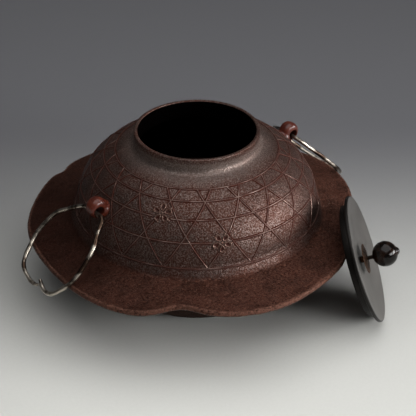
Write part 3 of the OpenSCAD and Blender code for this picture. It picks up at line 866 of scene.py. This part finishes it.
def dark_bronze(name, light, dark):
    paint = Paint(name, Metallic=0.85)
    across = paint.read("from_axis") * 1000.0
    # Painted shade: the lid's rounded rim and side are coloured near black, standing in for the shade they
    # lie in.
    edge = paint.fade(across, 62.9, 63.5) * 0.85
    cloud = paint.noise(30.0, 4.0, 0.6)
    specks = paint.noise(2.2, 3.0, 0.7)
    turned = paint.node("ShaderNodeTexNoise", {"W": across * 2.2, "Scale": 1.0, "Detail": 3.0},
                        noise_dimensions="1D")
    colour = paint.mix(paint.fade(cloud, 0.3, 0.7), dark, light)
    colour = paint.mix(paint.fade(specks, 0.6, 0.78) * 0.25, colour, tone(84, 66, 52))
    colour = paint.mix(edge, colour, tone(14, 12, 11))
    roughness = 0.4 + 0.08 * cloud + 0.05 * turned
    return paint.finish(colour, roughness, turned * 0.2 + specks * 0.3, 0.05)


bronze = dark_bronze("lid_bronze", tone(101, 98, 95), tone(88, 85, 82))
radii = [STEM_RADIUS, 4.0] + [6.0 + 5.0 * k for k in range(11)] + [59.0, 60.4]
face = [(r, scoop_height(r)) for r in radii] + [(61.2, -0.02), (62.2, 0.0), (63.0, -0.06)]
edge = [(63.55, -0.3), (63.9, -0.75), (LID_RADIUS, -1.3), (LID_RADIUS, -2.4), (63.85, -3.0), (63.4, -3.35)]
under = [(62.6, -LID_EDGE), (59.0, -LID_EDGE), (56.4, -LID_EDGE), (55.2, -3.52)]
under += [(r, scoop_height(r, PLATE)) for r in (52.0, 46.0, 40.0, 33.0, 26.0, 19.0, 13.0, 8.5)]
under += [(7.2, -BOSS_DEEP), (STEM_RADIUS, -BOSS_DEEP)]
plate = bpy.data.objects.new("scooped_lid", lid_mesh("scooped_lid", face + edge + under, 220))
collar_rows = [(COLLAR_OUT, -LID_EDGE), (COLLAR_OUT, -5.0), (COLLAR_OUT, -9.9), (56.3, -10.35)]
collar_rows += [(55.8, -COLLAR_DEEP), (54.2, -COLLAR_DEEP), (53.7, -10.35)]
collar_rows += [(COLLAR_IN, -9.9), (COLLAR_IN, -5.0), (COLLAR_IN, -3.85), (54.6, -3.6), (55.8, -LID_EDGE)]
collar = bpy.data.objects.new("lid_collar_ring", lid_mesh("lid_collar_ring", collar_rows, 200))
# Painted shade: the collar below the plate gets a near-black bronze, standing in for the shade under the
# lid.
collar_bronze = dark_bronze("collar_bronze", tone(34, 31, 29), tone(22, 20, 19))
for piece, node, metal in ((plate, "lid_plate", bronze), (collar, "lid_collar", collar_bronze)):
    scene.collection.objects.link(piece)
    piece.data.materials.append(metal)
    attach(piece, "lid")
    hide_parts(node)


# Knob: a turned ball, near black and glossy, with a bud on top, on a petalled bronze seat.
# A bronze stem runs through seat and lid and is riveted over a washer below.
KNOB_RADIUS = 12.7
KNOB_HEIGHT = 18.8
SEAT_RADIUS = 16.2
SEAT_HEIGHT = -0.8
SEAT_THICK = 3.6
SEAT_FOOT = 3.2
PETALS = 8
SCALLOP = 2.2
SCALLOP_AT = SEAT_RADIUS + 0.2
KNOB_FOOT = 2.6
BUD_RADIUS = 4.4
BUD_HEIGHT = KNOB_HEIGHT + KNOB_RADIUS + 2.0 - BUD_RADIUS
SEAT_BALL = (SEAT_RADIUS ** 2 + (SEAT_THICK / 2) ** 2) / SEAT_THICK


def seat_mesh():
    """The petalled seat, its edge scalloped between the petals and each petal slightly domed."""
    around = 160
    outward = [0.16, 0.3, 0.45, 0.6, 0.72, 0.82, 0.9, 0.96, 1.0]
    half = math.pi / PETALS
    points, faces = [], []
    for side in (1, -1):
        for share in (outward if side == 1 else outward[::-1]):
            for k in range(around):
                t = 2 * math.pi * k / around
                gap = t % (2 * half) - half
                across = SCALLOP_AT * math.sin(gap)
                edge = SEAT_RADIUS - 1.2
                if abs(across) < SCALLOP:
                    edge = min(edge, SCALLOP_AT * math.cos(gap) - math.sqrt(SCALLOP ** 2 - across ** 2))
                r = edge * share
                lens = math.sqrt(SEAT_BALL ** 2 - r ** 2) - SEAT_BALL + SEAT_THICK / 2
                groove = 0.35 * math.exp(-(r * gap / 0.7) ** 2) * min(1.0, r / 6.0)
                lens = max(0.12, lens - (groove if side == 1 else 0.0)) * (1.0 if share < 1.0 else 0.3)
                spot = Vector((r * math.cos(t), r * math.sin(t), SEAT_HEIGHT + side * lens))
                points.append(LID_PLACE @ spot * 0.001)
    foot = [(SEAT_FOOT, SEAT_HEIGHT - 1.7), (SEAT_FOOT, -5.95)]
    foot += [(STEM_RADIUS, -5.97), (STEM_RADIUS, SEAT_HEIGHT + 1.7)]
    for r, z in foot:
        for k in range(around):
            t = 2 * math.pi * k / around
            points.append(LID_PLACE @ Vector((r * math.cos(t), r * math.sin(t), z)) * 0.001)
    count = len(points) // around
    for j in range(count):
        for k in range(around):
            a, b, n = j * around, (j + 1) % count * around, (k + 1) % around
            faces.append((a + k, a + n, b + n, b + k))
    made = bpy.data.meshes.new("petal_seat")
    made.from_pydata(points, [], faces)
    work = bmesh.new()
    work.from_mesh(made)
    bmesh.ops.recalc_face_normals(work, faces=work.faces)
    work.to_mesh(made)
    work.free()
    made.shade_smooth()
    mark_axis(made)
    return made


def worn_seat():
    tint = tone(110, 84, 68)
    paint = Paint("worn_seat", Metallic=0.6, Specular_IOR_Level=0.2, Specular_Tint=tint)
    across = paint.read("from_axis") * 1000.0
    cloud = paint.noise(5.0, 3.0)
    colour = paint.mix(paint.fade(cloud, 0.35, 0.65), tone(44, 30, 21), tone(78, 55, 40))
    colour = paint.mix(paint.fade(across, 11.0, 13.6), colour, tone(66, 48, 37))
    return paint.finish(colour, 0.24 + 0.2 * cloud, cloud, 0.3)


def knob_black():
    paint = Paint("knob_black", Specular_IOR_Level=0.12, Coat_Weight=0.22, Coat_Roughness=0.03)
    streaks = paint.noise(7.0, 4.0, 0.65)
    fine = paint.noise(1.2, 3.0, 0.6)
    colour = paint.mix(paint.fade(streaks, 0.42, 0.68), tone(8, 6, 5), tone(32, 20, 14))
    return paint.finish(colour, 0.06 + 0.14 * streaks, streaks * 1.6 + fine * 0.5, 0.3)


seat = bpy.data.objects.new("petal_seat", seat_mesh())
low = math.degrees(math.asin(KNOB_FOOT / KNOB_RADIUS))
bore = KNOB_HEIGHT - KNOB_RADIUS + 6.0
ball = [(0.0, bore), (STEM_RADIUS, bore), (STEM_RADIUS, KNOB_HEIGHT - KNOB_RADIUS + 0.5)]
ball += [(2.1, KNOB_HEIGHT - KNOB_RADIUS + 0.2)] + arc((0.0, KNOB_HEIGHT), KNOB_RADIUS, -90 + low, 70.0, 48)
ball += [(4.16, KNOB_HEIGHT + 12.1)] + arc((0.0, BUD_HEIGHT), BUD_RADIUS, 29.0, 90.0, 14)
knob = bpy.data.objects.new("knob_ball", lid_mesh("knob_ball", ball, 96, closed=False))
seat_bronze = dark_bronze("seat_bronze", tone(36, 27, 20), tone(22, 16, 12))
for piece, node, material, slot in ((seat, "knob_seat", worn_seat(), "seat_bronze"),
                                    (knob, "knob", knob_black(), "knob_dark")):
    scene.collection.objects.link(piece)
    piece.data.materials.append(material)
    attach(piece, "lid")
    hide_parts(node)
dress("knob_stem", seat_bronze)
dress("stem_washer", seat_bronze)


# Table: a plain pale sheet that darkens smoothly towards the back, under three soft lamps. It isn't part of
# the kettle. Places here are in metres, to the right, away and up as the camera sees them, and the camera
# stands at the photograph's height and direction.
TARGET = Vector((0.00859, -0.00671, 0.084))
CAMERA_PLACE = (-0.6785, -0.8861, 0.7909)
TABLE_HALF = 4.0
WORLD_LEVEL = 0.035
RIGHT = Vector((0.788, -0.616, 0.0))
AWAY = Vector((0.616, 0.788, 0.0))
UP = Vector((0.0, 0.0, 1.0))


def pale_sheet():
    paint = Paint("pale_sheet", Specular_IOR_Level=0.0)
    weave = paint.noise(3.0, 2.0)
    x, y, _ = paint.split(paint.place)
    back = paint.fade(x * AWAY.x + y * AWAY.y, -0.3, 0.34)
    colour = paint.mix(weave, tone(212, 212, 207), tone(218, 218, 213))
    colour = paint.mix(back, colour, tone(102, 102, 105))
    return paint.finish(colour, 0.85 + 0.05 * weave, weave, 0.05)


ground = bpy.data.meshes.new("table")
corners = [(TABLE_HALF * x, TABLE_HALF * y, 0.0) for x, y in ((-1, -1), (1, -1), (1, 1), (-1, 1))]
ground.from_pydata(corners, [], [(0, 1, 2, 3)])
ground.materials.append(pale_sheet())
table = bpy.data.objects.new("table", ground)
scene.collection.objects.link(table)


def soft_light(name, right, away, up, wide, high, watts, beam=180.0):
    """A lamp with a flat face that looks at the kettle, its beam in degrees."""
    lamp = bpy.data.lights.new(name, "AREA")
    lamp.spread = math.radians(beam)
    lamp.shape = "RECTANGLE"
    lamp.size = wide
    lamp.size_y = high
    lamp.energy = watts
    stand = bpy.data.objects.new(name, lamp)
    stand.location = RIGHT * right + AWAY * away + UP * up
    stand.rotation_euler = (TARGET - stand.location).to_track_quat("-Z", "Y").to_euler()
    scene.collection.objects.link(stand)


soft_light("right_side", 3.6, -0.25, 0.94, 2.2, 1.0, 12.5, 44.0)
soft_light("front_right", 1.62, -1.18, 0.72, 0.8, 0.5, 1.5, 44.0)
soft_light("overhead", 0.2, -0.15, 1.5, 1.9, 1.9, 21.5)
world = bpy.data.worlds.new("studio")
world.use_nodes = True
sky = world.node_tree.nodes["Background"]
sky.inputs["Color"].default_value = (1.0, 1.0, 1.0, 1.0)
sky.inputs["Strength"].default_value = WORLD_LEVEL
scene.world = world
scene.view_settings.view_transform = "Standard"

lens = bpy.data.cameras.new("camera")
lens.lens = 112.5
lens.sensor_width = 36.0
lens.clip_end = 20.0
camera = bpy.data.objects.new("camera", lens)
camera.location = CAMERA_PLACE
camera.rotation_euler = (TARGET - camera.location).to_track_quat("-Z", "Y").to_euler()
scene.collection.objects.link(camera)
scene.camera = camera
